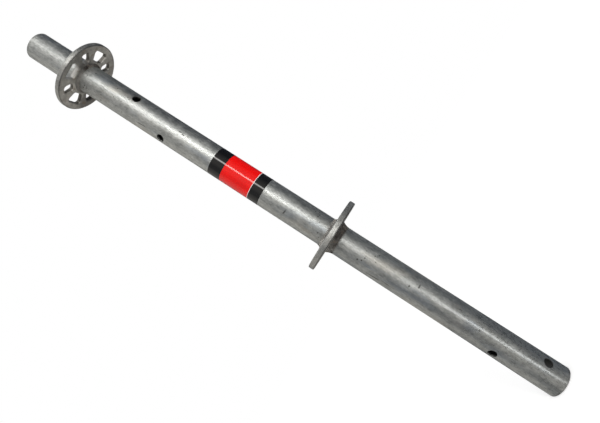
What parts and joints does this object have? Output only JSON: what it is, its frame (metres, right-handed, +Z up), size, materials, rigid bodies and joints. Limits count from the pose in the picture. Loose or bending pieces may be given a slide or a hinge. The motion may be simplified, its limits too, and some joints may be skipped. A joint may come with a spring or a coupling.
{
  "type": "scaffold standard",
  "caption": "Galvanised modular scaffold standard: a round steel tube with welded rosettes for wedge heads, cross-drilled pin holes and a plain banded label.",
  "frame": {"origin": "centre of the tube's bottom end", "axes": "+Z up the tube's axis, +X and +Y through the middles of narrow rosette openings"},
  "size_m": [0.123, 0.123, 1],
  "materials": {
    "galvanised_tube": "hot-dip galvanised, satin with mottled streaks",
    "galvanised_rosette": "hot-dip galvanised over a stamped plate, duller than the tube",
    "weld_bead": "rippled fillet weld, galvanised dark",
    "label_print": "glossy printed vinyl in black, red and black bands"
  },
  "bodies": {
    "root": {"standard_tube": "galvanised_tube", "lower_rosette": "galvanised_rosette", "upper_rosette": "galvanised_rosette", "lower_rosette_weld_below": "weld_bead", "lower_rosette_weld_above": "weld_bead", "upper_rosette_weld_below": "weld_bead", "upper_rosette_weld_above": "weld_bead", "label_wrap": "label_print"}
  },
  "joints": []
}
